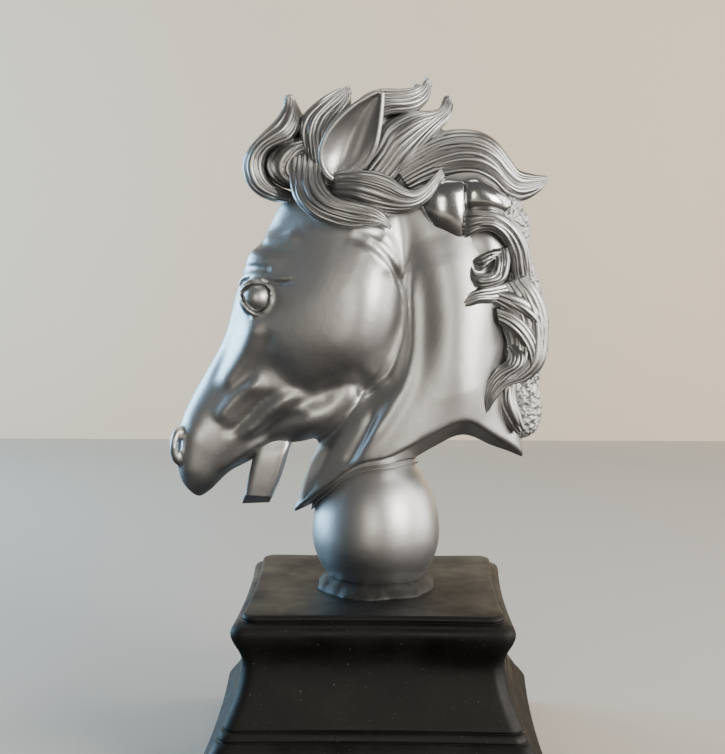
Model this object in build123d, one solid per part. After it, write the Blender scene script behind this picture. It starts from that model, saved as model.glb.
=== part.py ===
from build123d import *
from math import cos, pi, sin
import os

# Horse-head ornament: a cast head and neck with a separately cast mane, standing on an
# egg-shaped ball and a square moulded plinth.  Millimetres.  The origin is the centre of
# the plinth's underside, +Z is up and the horse looks along -X, so its left side is -Y.

# ---------------------------------------------------------------- driving dimensions
TOP_Z = 80.0  # upper face of the plinth
FOOT_HALF = 75.0  # half the width of the foot
SIDE_BOW = 0.03  # each side of the plinth is hollow in plan by this part of its half width
FELT = 1.5  # thickness of the felt under the plinth
PLATE = 4.0  # thickness of the closing plate
PLATE_HALF = 66.0  # half width of the closing plate
DECK = 10.0  # thickness of the plinth's deck, which the rod passes

BALL_X = 0.5  # the ball stands just behind the plinth's centre
BALL_Z = 104.0  # height of the ball's widest circle
BALL_R = 28.5  # radius there
BALL_CROWN = 39.5  # the upper half is drawn up to this height
COLLAR_R = 24.0  # middle of the putty ring round the ball's foot
COLLAR_TUBE = 3.6  # radius of that ring's section

ROD_R = 4.0  # M8 stud
ROD_BOTTOM = 57.0
ROD_TOP = 156.0
ROD_FIT = 0.25  # radial clearance round the stud
INSERT_R = 7.0  # threaded bush cast into the neck
INSERT_LENGTH = 13.0

RIB_POINTS = 12  # points round each rib
KEEL_SLOPE = 0.40  # rise per millimetre of the cut under the neck, from the keel outwards
WALL = 6.0  # wall of the hollow casting

EYE = (-51.0, 18.0, 211.0)  # centre of the right eyeball; the left one is its mirror
EYE_R = 8.2

SCREW_AT = 58.5  # each plate screw stands this far from both middle planes
SCREW_PLACES = [(x * SCREW_AT, y * SCREW_AT) for x in (-1, 1) for y in (-1, 1)]

# Plinth profile from the top down: height above the ground, half width at the corners.
SLAB_PROFILE = [(80.0, 54.2), (79.4, 55.0), (77.6, 55.4)]
OVOLO_PROFILE = [(76.8, 57.0), (75.2, 59.0), (73.0, 59.8), (69.5, 59.2), (66.0, 57.6), (60.0, 55.4)]
CAVETTO_PROFILE = [(60.0, 55.4), (54.0, 55.9), (47.0, 57.6), (40.0, 60.1), (33.2, 63.0)]
BAND_PROFILE = [(32.4, 63.8), (29.2, 65.0)]
FLARE_PROFILE = [(28.4, 65.8), (22.0, 69.6), (17.0, 73.6), (14.0, FOOT_HALF)]

# Ribs: upper point, lower point (x, z) of the side outline and half width across.
SKULL_RIBS = [
    ((6, 258), (20, 232), 14),
    ((-20, 261), (12, 212), 21),
    ((-37, 253), (9, 192), 25),
    ((-50, 233), (2, 174), 26),
    ((-59, 214), (-15, 163), 24.5),
    ((-66.5, 193), (-30, 153), 19.5),
    ((-74, 180), (-42, 148), 15.5),
    ((-80.5, 168), (-55, 138.5), 14),
    ((-86, 155), (-65, 131), 15),
    ((-88.8, 142), (-73, 123), 14),
    ((-86.5, 127), (-79, 119), 8),
]
NECK_RIBS = [
    ((-42, 100), (68, 118), 31),
    ((-35, 119), (66, 143), 29),
    ((-27, 141), (66, 170), 27),
    ((-12, 163), (66, 193), 25.5),
    ((0, 184), (63, 216), 24),
    ((4, 205), (55, 236), 22),
    ((2, 228), (42, 251), 19),
    ((-4, 246), (28, 262), 14),
]
KEEL = [(-60, 101), (-37, 112), (-22, 119.5), (-8, 128.3), (8, 131.8), (25, 141.5), (39, 147.8),
        (52, 143), (62, 139.4), (80, 131)]
JAW_RIBS = [
    ((-47, 156), (-30, 150), 9),
    ((-53, 140), (-39, 139), 9),
    ((-57, 128), (-42.5, 127), 8.5),
    ((-59.5, 116), (-47, 116), 8),
]
EAR_RIBS = [
    ((-19.5, 262), (-14, 260.5), 3.0, 18.0),
    ((-22.5, 270), (-5, 266), 5.5, 19.5),
    ((-20, 280), (0.5, 276), 5.5, 20.5),
    ((-10.5, 290), (2.2, 287), 4.0, 20.5),
    ((0.8, 296.5), (3.0, 295.5), 1.2, 20.0),
]

# Locks of hair: upper edge, lower edge, half thickness and distance from the mid-plane.
FORELOCK_CURL = [
    ((-36, 262), (-38, 250), 10),
    ((-46, 262), (-52, 253), 12),
    ((-47, 268), (-58.8, 266), 12.5),
    ((-43, 275), (-51, 280), 11),
    ((-37, 283), (-43, 289), 7),
    ((-36, 296.5), (-39, 296), 2),
]
FORELOCK_TUFT = [
    ((-38, 262), (-10, 258), 13),
    ((-34, 278), (-10, 274), 12),
    ((-28, 290), (-10, 284), 10),
    ((-20, 298), (-10, 292), 7),
    ((-13.5, 300.5), (-11, 297.5), 2.5),
]
POLL_TUFT = [
    ((-16, 276), (4, 262), 13),
    ((-10, 291), (6, 279), 12),
    ((0, 299), (9, 288), 9),
    ((11, 301), (14, 290), 7),
    ((20, 301), (20, 293), 4.5),
    ((24.5, 303), (23.5, 298), 1.8),
]
CROWN_TUFT = [
    ((0, 274), (16, 254), 14),
    ((5, 284), (23, 264), 14),
    ((15, 289.5), (29, 274), 11.5),
    ((26, 291), (32, 281), 7.5),
    ((30, 296), (34.5, 291), 3),
    ((31, 297.2), (33, 295.5), 1.2),
]
CREST_TUFT = [
    ((14, 268), (30, 254), 13),
    ((24, 279), (36, 259.5), 13),
    ((38, 283), (43, 261.5), 11.5),
    ((51, 281), (51, 258), 10),
    ((61, 270), (58, 252), 8),
    ((68, 264), (67, 253), 5),
    ((75.5, 262), (74.5, 258), 2),
]
CREST_BACK = [
    ((40, 256), (62, 253), 8),
    ((48, 242), (68, 240), 8),
    ((52, 226), (68, 226), 7.5),
    ((56, 212), (75, 210), 8),
    ((58, 196), (76.5, 196), 8),
    ((58, 180), (75, 181), 8),
    ((57, 166), (74, 166), 8),
    ((57, 151), (74, 152), 7),
    ((60, 146), (70, 148.5), 5),
]
UNDER_EAR_LOCK = [
    ((-24, 266), (-36.5, 266), 4.5, 15),
    ((-21.5, 256), (-35, 255), 5, 19),
    ((-16, 251.5), (-25, 244), 5, 21.5),
    ((-6, 250.5), (-12, 240.5), 4.5, 22),
    ((2, 247.5), (-1, 242), 3.5, 22),
    ((7.5, 241), (6, 239.6), 1.2, 21.5),
]
POLL_SIDE_LOCK = [
    ((-9, 263), (-13, 252), 4, 18),
    ((2, 263), (-1, 248), 5, 19.5),
    ((11, 258), (10, 246), 5, 19),
    ((20, 258), (19, 247.5), 4.5, 17.5),
    ((26, 264), (29, 257), 2.5, 15.5),
]
MANE_POCKET = [
    ((29, 259), (26, 246), 3, 14),
    ((36, 260), (34, 243), 4, 14.5),
    ((46, 259.5), (47, 246.5), 5, 13.5),
    ((55, 255.5), (55, 245.5), 3.5, 11),
]
MANE_LOCK_MIDDLE = [
    ((38, 245.5), (38.5, 236), 4, 15.5),
    ((47, 246.5), (47, 237.5), 5.5, 15),
    ((57, 243), (53.5, 235), 5.5, 13.5),
    ((64.5, 234), (57, 230), 5, 11.5),
    ((67, 224), (59, 222), 4, 10),
    ((66, 217), (61, 215.5), 2, 9),
]
MANE_CURL = [
    ((49, 232.5), (44, 226), 3, 16),
    ((57, 226), (49, 223), 4.5, 15.5),
    ((56, 217), (49, 220), 4.5, 16),
    ((48.5, 212), (46, 219), 4, 17.5),
    ((41, 208), (38.5, 213.5), 3, 19),
    ((37.5, 204.5), (36.3, 207), 1.2, 20),
]
MANE_LOCK_LOWER = [
    ((51, 213), (61, 218.5), 3, 15.5),
    ((55, 203), (70, 212), 5, 13.5),
    ((58.5, 194), (75, 199), 5.5, 12.5),
    ((60, 185), (74.5, 184), 5.5, 12.5),
    ((56, 179), (67, 174.5), 5, 14.5),
    ((51, 172), (56, 169), 4, 17),
    ((47.5, 162), (50, 160.5), 1.5, 19.5),
]

# Name, ribs and the earlier pieces that each lock leans on.
CENTRE_LOCKS = [
    ("forelock_tuft", FORELOCK_TUFT, []),
    ("forelock_curl", FORELOCK_CURL, ["forelock_tuft"]),
    ("poll_tuft", POLL_TUFT, ["forelock_tuft"]),
    ("crown_tuft", CROWN_TUFT, ["poll_tuft"]),
    ("crest_tuft", CREST_TUFT, ["crown_tuft"]),
    ("crest_back", CREST_BACK, ["crest_tuft"]),
]
SIDE_LOCKS = [
    ("ear", EAR_RIBS, ["forelock_tuft", "poll_tuft"]),
    ("under_ear_lock", UNDER_EAR_LOCK, ["forelock_tuft", "forelock_curl", "ear"]),
    ("poll_side_lock", POLL_SIDE_LOCK, ["forelock_tuft", "poll_tuft", "crown_tuft", "ear", "under_ear_lock"]),
    ("mane_pocket", MANE_POCKET, ["crown_tuft", "crest_tuft", "crest_back", "poll_side_lock"]),
    ("mane_lock_middle", MANE_LOCK_MIDDLE, ["crest_back", "mane_pocket"]),
    ("mane_curl", MANE_CURL, ["crest_back", "mane_lock_middle"]),
    ("mane_lock_lower", MANE_LOCK_LOWER, ["crest_back"]),
]


# ---------------------------------------------------------------- building blocks
def rib(edge, other_edge, half_width, y=0.0):
    """Oval face standing between two points of the side outline, seam at the first one."""
    start = Vector(edge[0], y, edge[1])
    end = Vector(other_edge[0], y, other_edge[1])
    centre = (start + end) * 0.5
    half_span = (start - end) * 0.5
    across = Vector(0, half_width, 0)
    turns = [2 * pi * i / RIB_POINTS for i in range(RIB_POINTS)]
    return make_face(Spline(*[centre + half_span * cos(t) + across * sin(t) for t in turns], periodic=True))


def through(ribs):
    """Smooth solid drawn through a list of ribs."""
    return loft([rib(*one) for one in ribs])


def on_left(ribs):
    """The same solid on the horse's left, where each rib has its own distance from the middle."""
    return through([(a, b, half, -y) for a, b, half, y in ribs])


def ellipsoid(centre, radii):
    return Pos(*centre) * scale(Sphere(1.0), by=radii)


def without(solid, *others):
    """Cut other pieces out of a solid and keep its largest remaining lump."""
    for other in others:
        solid = solid - other
    return max(solid.solids(), key=lambda lump: lump.volume)


def hollow_square(half, corner_radius):
    """Square with softly hollowed sides and rounded corners."""
    middle = half * (1 - SIDE_BOW)
    corners = [(half, -half), (half, half), (-half, half), (-half, -half)]
    middles = [(middle, 0), (0, middle), (-middle, 0), (0, -middle)]
    sides = [ThreePointArc(corners[i], middles[i], corners[(i + 1) % 4]) for i in range(4)]
    outline = make_face(sides)
    return fillet(outline.vertices(), corner_radius)


def moulding(profile, corner_radius):
    """Moulded layer of the plinth through its heights and half widths."""
    return loft([Pos(0, 0, z) * hollow_square(half, corner_radius) for z, half in profile])


def disc(radius, bottom, top, x=0.0, y=0.0):
    return Pos(x, y, bottom) * Cylinder(radius, top - bottom, align=(Align.CENTER, Align.CENTER, Align.MIN))


def save(name, solid):
    solid.label = name
    export_step(solid, f"parts/{name}.step")


# ---------------------------------------------------------------- plinth
def make_plinth():
    deck_bottom = TOP_Z - DECK
    corner = 6.0
    foot = extrude(Pos(0, 0, FELT) * hollow_square(FOOT_HALF, corner), 14.0 - FELT)
    slab = moulding(SLAB_PROFILE, corner)
    quirk = extrude(Pos(0, 0, 76.8) * hollow_square(54.2, corner), 0.8)
    ovolo = moulding(OVOLO_PROFILE, corner)
    cavetto = moulding(CAVETTO_PROFILE, corner)
    upper_groove = extrude(Pos(0, 0, 32.4) * hollow_square(62.0, corner), 0.8)
    band = moulding(BAND_PROFILE, corner)
    lower_groove = extrude(Pos(0, 0, 28.4) * hollow_square(63.8, corner), 0.8)
    flare = moulding(FLARE_PROFILE, corner)
    body = foot + flare + lower_groove + band + upper_groove + cavetto + ovolo + quirk + slab
    cavity = moulding([(FELT + PLATE, 52.0), (deck_bottom, 46.0)], corner)
    rebate = extrude(Pos(0, 0, FELT) * hollow_square(PLATE_HALF, corner), PLATE)
    seat = disc(BALL_R, TOP_Z - 1.5, TOP_Z + 1, BALL_X) & ball_shape()
    rod_hole = disc(ROD_R + ROD_FIT, deck_bottom - 1, TOP_Z + 1, BALL_X)
    pilot_holes = [disc(1.6, FELT, 18, x, y) for x, y in SCREW_PLACES]
    return without(body, cavity, rebate, seat, rod_hole, *pilot_holes)


def make_plate():
    plate = extrude(Pos(0, 0, FELT) * hollow_square(PLATE_HALF - 0.3, 6.0), PLATE)
    for x, y in SCREW_PLACES:
        plate = plate - disc(1.9, FELT, FELT + PLATE, x, y)
        plate = plate - Pos(x, y, FELT) * Cone(3.6, 1.9, 1.8, align=(Align.CENTER, Align.CENTER, Align.MIN))
    return plate


def make_screws():
    """Countersunk screws that hold the plate into the plinth's corners."""
    screws = []
    for x, y in SCREW_PLACES:
        head = Pos(x, y, FELT) * Cone(3.5, 1.8, 1.8, align=(Align.CENTER, Align.CENTER, Align.MIN))
        screws.append(head + disc(1.5, FELT + 1.8, FELT + 14, x, y))
    return Compound(children=screws)


def make_felt():
    return extrude(hollow_square(FOOT_HALF - 1.0, 6.0), FELT)


# ---------------------------------------------------------------- ball and rod
def ball_shape():
    """Egg: a half ball below its widest circle and a drawn-up half above it."""
    lower = Pos(BALL_X, 0, BALL_Z) * Sphere(BALL_R)
    upper = ellipsoid((BALL_X, 0, BALL_Z), (BALL_R, BALL_R, BALL_CROWN))
    low_block = disc(BALL_R + 5, TOP_Z - 1.5, BALL_Z, BALL_X)
    high_block = disc(BALL_R + 5, BALL_Z, BALL_Z + BALL_CROWN + 5, BALL_X)
    return (lower & low_block) + (upper & high_block)


def make_ball():
    bore = disc(ROD_R + ROD_FIT, TOP_Z - 5, BALL_Z + BALL_CROWN + 5, BALL_X)
    return without(ball_shape(), bore)


def make_collar():
    ring = Pos(BALL_X, 0, TOP_Z) * Torus(COLLAR_R, COLLAR_TUBE)
    above = disc(COLLAR_R + 2 * COLLAR_TUBE, TOP_Z, TOP_Z + 2 * COLLAR_TUBE, BALL_X)
    return without(ring & above, ball_shape())


def make_rod():
    return disc(ROD_R, ROD_BOTTOM, ROD_TOP, BALL_X)


def make_washer():
    top = TOP_Z - DECK
    ring = disc(9.0, top - 1.6, top, BALL_X)
    return without(ring, disc(ROD_R, top - 3, top + 3, BALL_X))


def make_nut():
    top = TOP_Z - DECK - 1.6
    prism = extrude(Pos(BALL_X, 0, top - 6.5) * RegularPolygon(6.5, 6, major_radius=False), 6.5)
    return without(prism, disc(ROD_R, top - 10, top + 5, BALL_X))


def make_insert():
    bottom = BALL_Z + BALL_CROWN + 0.5
    bush = disc(INSERT_R, bottom, bottom + INSERT_LENGTH, BALL_X)
    return without(bush, disc(ROD_R, bottom - 1, ROD_TOP, BALL_X))


# ---------------------------------------------------------------- head and neck
def keel_cutter(side):
    """Everything below one flank of the keel under the neck."""
    line = Spline(*[(x, 0, z) for x, z in KEEL])
    floor = Polyline((80, 0, 131), (80, 0, 60), (-60, 0, 60), (-60, 0, 101))
    region = make_face([line, floor])
    reach = 45.0
    slide = Vector(0, side, KEEL_SLOPE)
    return extrude(region, reach * slide.length, dir=slide)


def inset(ribs, by):
    """Ribs of the hollow inside a casting."""
    smaller = []
    for edge, other_edge, half in ribs:
        ax, az = edge
        bx, bz = other_edge
        share = by / ((ax - bx) ** 2 + (az - bz) ** 2) ** 0.5
        upper = (ax + (bx - ax) * share, az + (bz - az) * share)
        lower = (bx + (ax - bx) * share, bz + (az - bz) * share)
        smaller.append((upper, lower, half - by))
    return smaller


def head_shape():
    head = through(SKULL_RIBS) + through(NECK_RIBS)
    for side in (-1, 1):
        head = head + ellipsoid((-19, side * 12, 202), (31.5, 16.5, 32))
    for side in (-1, 1):
        head = head - keel_cutter(side)
    return head


def make_head(head):
    """The casting: its seat on the ball, its hollow, and the hole and seat of the threaded bush."""
    bush_bottom = BALL_Z + BALL_CROWN + 0.5
    bush_top = bush_bottom + INSERT_LENGTH
    above_bush = Pos(0, 0, bush_top) * Box(400, 200, 200, align=(Align.CENTER, Align.CENTER, Align.MIN))
    core = through(inset(NECK_RIBS[2:7], WALL)) & above_bush
    bush_hole = disc(INSERT_R, bush_bottom, bush_top + 2, BALL_X)
    rod_hole = disc(ROD_R + ROD_FIT, BALL_Z, bush_bottom + 1, BALL_X)
    return without(head, ball_shape(), core, bush_hole, rod_hole)


def make_left_eye():
    """Eyeball standing out of its socket."""
    x, y, z = EYE
    return without(Pos(x, -y, z) * Sphere(EYE_R), through(SKULL_RIBS))


def make_neck_fillet(head):
    """Run of filler in the corner between the ball and the neck."""
    swollen = ellipsoid((BALL_X, 0, BALL_Z), (BALL_R + 1.6, BALL_R + 1.6, BALL_CROWN + 1.6))
    band = []
    for side in (-1, 1):
        lifted = Pos(0, 0, -2.2) * keel_cutter(side)
        band.append((swollen & keel_cutter(side)) - lifted)
    ring = (band[0] + band[1]) & disc(BALL_R + 10, BALL_Z + 6, BALL_Z + 45, BALL_X)
    return without(ring, ball_shape(), head)


# ---------------------------------------------------------------- the whole ornament
def main():
    os.makedirs("parts", exist_ok=True)
    save("plinth", make_plinth())
    save("base_plate", make_plate())
    save("base_plate_screws", make_screws())
    save("base_felt", make_felt())
    save("ball", make_ball())
    save("putty_collar", make_collar())
    save("tie_rod", make_rod())
    save("tie_washer", make_washer())
    save("tie_nut", make_nut())
    save("neck_insert", make_insert())

    shape = head_shape()
    save("head_casting", make_head(shape))
    save("neck_fillet", make_neck_fillet(shape))
    skull = through(SKULL_RIBS)
    save("lower_jaw", without(through(JAW_RIBS), skull))
    eye = make_left_eye()
    save("eye_left", eye)
    save("eye_right", mirror(eye, about=Plane.XZ))

    # Each lock is cut only by the plain bodies that it leans on, so no two of them overlap.
    neck = through(NECK_RIBS)
    bodies = {}
    for name, ribs, neighbours in CENTRE_LOCKS:
        bodies[name] = through(ribs)
        save(name, without(bodies[name], skull, neck, *[bodies[other] for other in neighbours]))
    for name, ribs, neighbours in SIDE_LOCKS:
        bodies[name] = on_left(ribs)
        lock = without(bodies[name], skull, neck, *[bodies[other] for other in neighbours])
        save(f"{name}_left", lock)
        save(f"{name}_right", mirror(lock, about=Plane.XZ))


main()
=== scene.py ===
# %% [markdown]
# # A silver horse head on a ball and a black plinth
# The ornament is a satin silver casting with a brighter, deeply combed mane. It stands on an
# egg-shaped ball, which is bedded in black putty on a moulded square plinth. The CAD frame
# gives every piece its place. Here each visible piece is remade with its cast surface.

# %% Load the frame
import math
import random

import bmesh
import bpy
import numpy as np
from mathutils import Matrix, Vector, noise
from mathutils.bvhtree import BVHTree


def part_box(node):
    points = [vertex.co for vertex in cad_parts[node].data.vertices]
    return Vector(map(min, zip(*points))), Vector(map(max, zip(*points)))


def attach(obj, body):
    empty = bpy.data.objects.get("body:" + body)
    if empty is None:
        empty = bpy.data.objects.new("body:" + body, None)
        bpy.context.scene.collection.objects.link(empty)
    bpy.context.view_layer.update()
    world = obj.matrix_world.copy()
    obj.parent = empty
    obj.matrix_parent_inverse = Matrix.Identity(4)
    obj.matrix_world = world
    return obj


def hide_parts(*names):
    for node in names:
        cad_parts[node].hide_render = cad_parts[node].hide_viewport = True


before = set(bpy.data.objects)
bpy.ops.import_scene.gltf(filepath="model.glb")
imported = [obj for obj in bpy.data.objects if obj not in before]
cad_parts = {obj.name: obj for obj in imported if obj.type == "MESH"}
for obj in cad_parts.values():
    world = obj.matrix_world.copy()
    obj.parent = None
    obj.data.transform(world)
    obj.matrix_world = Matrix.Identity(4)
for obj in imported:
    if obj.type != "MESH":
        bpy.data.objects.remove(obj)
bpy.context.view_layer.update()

MM = 0.001
BODY = "root"

# %% [markdown]
# ## Small helpers
# A sculptor works from a few ribs and lets the clay run smoothly between them. smooth_rows
# does that for any list of numbers, and skin turns a stack of closed rings into a solid mesh.
# Pushing a primitive about in edit mode would also do, but an animal's curves are easier to
# state as ribs, and ribs can be corrected one at a time.


# %% Rows drawn smoothly through a few values
def smooth_rows(rows, count):
    """Rows of numbers drawn smoothly through the given rows."""
    rows = np.asarray(rows, float)
    place = np.linspace(0, len(rows) - 1, count)
    low = np.clip(place.astype(int), 0, len(rows) - 2)
    t = (place - low)[:, None]
    padded = np.vstack([2 * rows[0] - rows[1], rows, 2 * rows[-1] - rows[-2]])
    a, b, c, d = padded[low], padded[low + 1], padded[low + 2], padded[low + 3]
    return 0.5 * (2 * b + (c - a) * t + (2 * a - 5 * b + 4 * c - d) * t**2 + (3 * b - a - 3 * c + d) * t**3)


print("halfway up a smooth hill:", smooth_rows([[0], [1], [0]], 9)[2])


# %% One object selected and active, as operators expect
def deselect():
    for obj in bpy.context.selected_objects:
        obj.select_set(False)


def make_active(obj):
    deselect()
    obj.select_set(True)
    bpy.context.view_layer.objects.active = obj


# %% Meshes from points, rings and outlines
def mesh_object(name, verts, faces):
    """Object from points in millimetres, with its faces pointing outwards."""
    mesh = bpy.data.meshes.new(name)
    mesh.from_pydata([tuple(v) for v in np.asarray(verts) * MM], [], faces)
    obj = bpy.data.objects.new(name, mesh)
    bpy.context.scene.collection.objects.link(obj)
    shell = bmesh.new()
    shell.from_mesh(mesh)
    bmesh.ops.recalc_face_normals(shell, faces=shell.faces)
    shell.to_mesh(mesh)
    shell.free()
    mesh.polygons.foreach_set("use_smooth", [True] * len(mesh.polygons))
    return obj


def skin(name, rings):
    """Closed solid through a stack of rings (ring, point, xyz)."""
    rings = np.asarray(rings, float)
    count, around, _ = rings.shape
    verts = np.vstack([rings.reshape(-1, 3), rings[0].mean(0), rings[-1].mean(0)])
    faces = []
    for r in range(count - 1):
        for k in range(around):
            n = (k + 1) % around
            faces.append((r * around + k, r * around + n, (r + 1) * around + n, (r + 1) * around + k))
    first, last = count * around, count * around + 1
    for k in range(around):
        n = (k + 1) % around
        faces.append((first, n, k))
        faces.append((last, first - around + k, first - around + n))
    return mesh_object(name, verts, faces)


def prism(name, near, far):
    """Closed solid between two outlines that have the same number of points."""
    n = len(near)
    faces = [tuple(range(n)), tuple(range(2 * n - 1, n - 1, -1))]
    faces += [(k, (k + 1) % n, n + (k + 1) % n, n + k) for k in range(n)]
    return mesh_object(name, np.vstack([near, far]), faces)


print("mesh helpers ready, in millimetres, one of which is", MM, "m")


# %% Modifiers applied as soon as they are set
def apply_modifier(obj, kind, **settings):
    make_active(obj)
    modifier = obj.modifiers.new(kind.title(), kind)
    for key, value in settings.items():
        setattr(modifier, key, value)
    bpy.ops.object.modifier_apply(modifier=modifier.name)


def melt(obj, voxel, passes):
    """Melt overlapping forms into one even skin, its faces voxel mm wide, and soften it."""
    apply_modifier(obj, "REMESH", mode="VOXEL", voxel_size=voxel * MM)
    if passes:
        apply_modifier(obj, "SMOOTH", factor=0.5, iterations=passes)


def cut(obj, cutter):
    """Take a cutter's volume out of a piece, and throw the cutter away."""
    apply_modifier(obj, "BOOLEAN", operation="DIFFERENCE", object=cutter, solver="EXACT")
    bpy.data.objects.remove(cutter)


def join(name, pieces):
    make_active(pieces[0])
    for piece in pieces:
        piece.select_set(True)
    bpy.ops.object.join()
    pieces[0].name = name
    return pieces[0]


print("modifier helpers ready")


# %% Points of a mesh, read and moved
def points_of(obj):
    co = np.empty(len(obj.data.vertices) * 3)
    obj.data.vertices.foreach_get("co", co)
    return co.reshape(-1, 3) / MM


def move_points(obj, points):
    obj.data.vertices.foreach_set("co", (points * MM).ravel())
    obj.data.update()


def normals_of(obj):
    normals = np.empty(len(obj.data.vertices) * 3)
    obj.data.vertex_normals.foreach_get("vector", normals)
    return normals.reshape(-1, 3)


def mirrored(obj, name):
    """The same piece for the other side of the head."""
    copy = obj.copy()
    copy.data = obj.data.copy()
    copy.name = name
    bpy.context.scene.collection.objects.link(copy)
    move_points(copy, points_of(copy) * (1, -1, 1))
    copy.data.flip_normals()
    return copy


print("point helpers ready")


# %% A finished piece handed over
def settle(obj, material, slot, *nodes):
    """Give a finished piece its material and its body, and hide the CAD nodes that it stands for."""
    obj.data.materials.clear()
    obj.data.materials.append(material)
    obj.data.polygons.foreach_set("use_smooth", [True] * len(obj.data.polygons))
    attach(obj, BODY)
    if nodes:
        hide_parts(*nodes)


print("every piece rides on", BODY)

# %% [markdown]
# ## Finishes
# The casting is sprayed with a metallic silver: a satin mirror broken by grain a fraction of a
# millimetre wide. The mane has the same colour but is smoother, so it flashes. A picture of
# metal could be wrapped round it, but would stretch on a form like this. A metal shader with
# fine noise in its roughness and bump has no seams, and the same recipe makes every silver.


# %% Nodes that every finish uses
def new_material(name, metallic, **sockets):
    material = bpy.data.materials.new(name)
    material.use_nodes = True
    shader = material.node_tree.nodes["Principled BSDF"]
    shader.inputs["Metallic"].default_value = metallic
    for key, value in sockets.items():
        shader.inputs[key.replace("_", " ")].default_value = value
    return material, material.node_tree, shader


def grain(tree, scale, detail=3.0, rough=0.6):
    """Noise on the object's own coordinates; scale is in cycles per metre."""
    where = tree.nodes.new("ShaderNodeTexCoord")
    speckle = tree.nodes.new("ShaderNodeTexNoise")
    speckle.inputs["Scale"].default_value = scale
    speckle.inputs["Detail"].default_value = detail
    speckle.inputs["Roughness"].default_value = rough
    tree.links.new(where.outputs["Object"], speckle.inputs["Vector"])
    return speckle


def ramp(tree, source, low, high, start=0.35, end=0.65):
    """Colour ramp between two colours over the middle of a noise."""
    steps = tree.nodes.new("ShaderNodeValToRGB")
    steps.color_ramp.elements[0].position = start
    steps.color_ramp.elements[0].color = low
    steps.color_ramp.elements[1].position = end
    steps.color_ramp.elements[1].color = high
    tree.links.new(source, steps.inputs["Fac"])
    return steps


def grey(value, tint=0.0):
    return (value, value, value + tint, 1.0)


def bump(tree, shader, *layers):
    """Stack of bumps: (height socket, distance in metres, strength)."""
    before = None
    for height, distance, strength in layers:
        node = tree.nodes.new("ShaderNodeBump")
        node.inputs["Distance"].default_value = distance
        node.inputs["Strength"].default_value = strength
        tree.links.new(height, node.inputs["Height"])
        if before:
            tree.links.new(before.outputs["Normal"], node.inputs["Normal"])
        before = node
    tree.links.new(before.outputs["Normal"], shader.inputs["Normal"])


print("node helpers ready")


# %% Silvers, from satin skin to torn metal
def silver(name, tone, smooth, rough, grain_height):
    """Sprayed silver: tone is its brightness, smooth and rough the ends of its roughness."""
    material, tree, shader = new_material(name, 1.0)
    fine = grain(tree, 2600.0)
    broad = grain(tree, 90.0, detail=4.0)
    lump = grain(tree, 260.0, detail=2.0)
    colour = ramp(tree, broad.outputs["Fac"], grey(tone * 0.93), grey(tone, 0.012))
    roughness = ramp(tree, fine.outputs["Fac"], grey(smooth), grey(rough))
    tree.links.new(colour.outputs["Color"], shader.inputs["Base Color"])
    tree.links.new(roughness.outputs["Color"], shader.inputs["Roughness"])
    bump(tree, shader, (lump.outputs["Fac"], 0.00012, 0.5), (fine.outputs["Fac"], grain_height, 0.6))
    return material


skin_silver = silver("Skin silver", 0.55, 0.34, 0.46, 0.00006)
mane_silver = silver("Mane silver", 0.44, 0.29, 0.40, 0.00003)
bead_silver = silver("Bead silver", 0.60, 0.13, 0.22, 0.00002)
rough_silver = silver("Rough cast silver", 0.52, 0.42, 0.60, 0.00014)
print("silvers", [m.name for m in bpy.data.materials if "silver" in m.name])

# %% [markdown]
# ## Black paint and putty
# The plinth is painted a dull black that has gathered dust, and the putty is the same black
# with a little more shine. Dust lies in clouds and in specks, so two sizes of noise are added
# to a nearly black colour, and the clouds make the paint duller as well.


# %% Blacks
def matt_black(name, tone, dust, rough, gloss=0.5):
    """Black paint with pale dust lying on it in clouds and specks."""
    material, tree, shader = new_material(name, 0.0, Specular_IOR_Level=gloss)
    clouds = grain(tree, 28.0, detail=6.0, rough=0.65)
    specks = grain(tree, 900.0, detail=2.0)
    cloud = ramp(tree, clouds.outputs["Fac"], grey(tone), grey(tone + dust), 0.40, 0.78)
    speck = ramp(tree, specks.outputs["Fac"], grey(0.0), grey(0.09), 0.70, 0.78)
    both = tree.nodes.new("ShaderNodeMix")
    both.data_type = "RGBA"
    both.blend_type = "ADD"
    both.inputs["Factor"].default_value = 1.0
    tree.links.new(cloud.outputs["Color"], both.inputs["A"])
    tree.links.new(speck.outputs["Color"], both.inputs["B"])
    tree.links.new(both.outputs["Result"], shader.inputs["Base Color"])
    sheen = ramp(tree, clouds.outputs["Fac"], grey(rough), grey(min(1.0, rough + 0.25)))
    tree.links.new(sheen.outputs["Color"], shader.inputs["Roughness"])
    pores = grain(tree, 1400.0)
    bump(tree, shader, (clouds.outputs["Fac"], 0.0002, 0.4), (pores.outputs["Fac"], 0.00005, 0.5))
    return material


skin_silver = silver("Skin silver", 0.55, 0.34, 0.46, 0.00006)
plinth_black = matt_black("Plinth black", 0.0018, 0.004, 0.40, gloss=0.3)
putty_black = matt_black("Black putty", 0.018, 0.014, 0.42, gloss=0.35)
print("blacks", [plinth_black.name, putty_black.name])

# %% [markdown]
# ## Head and neck
# A horse's head is a wedge with a deep jaw, and its neck leaves the skull behind the cheek.
# Both are drawn as ribs: the two ends of a rib lie on the side outline, and five half widths
# say how far the flesh stands out between them. The two forms are melted together by a
# voxel remesh, which is how clay lumps become one, and the details are worked in afterwards.
# A subdivided cage would need its loops planned round every muscle; melted clay needs none.

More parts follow.
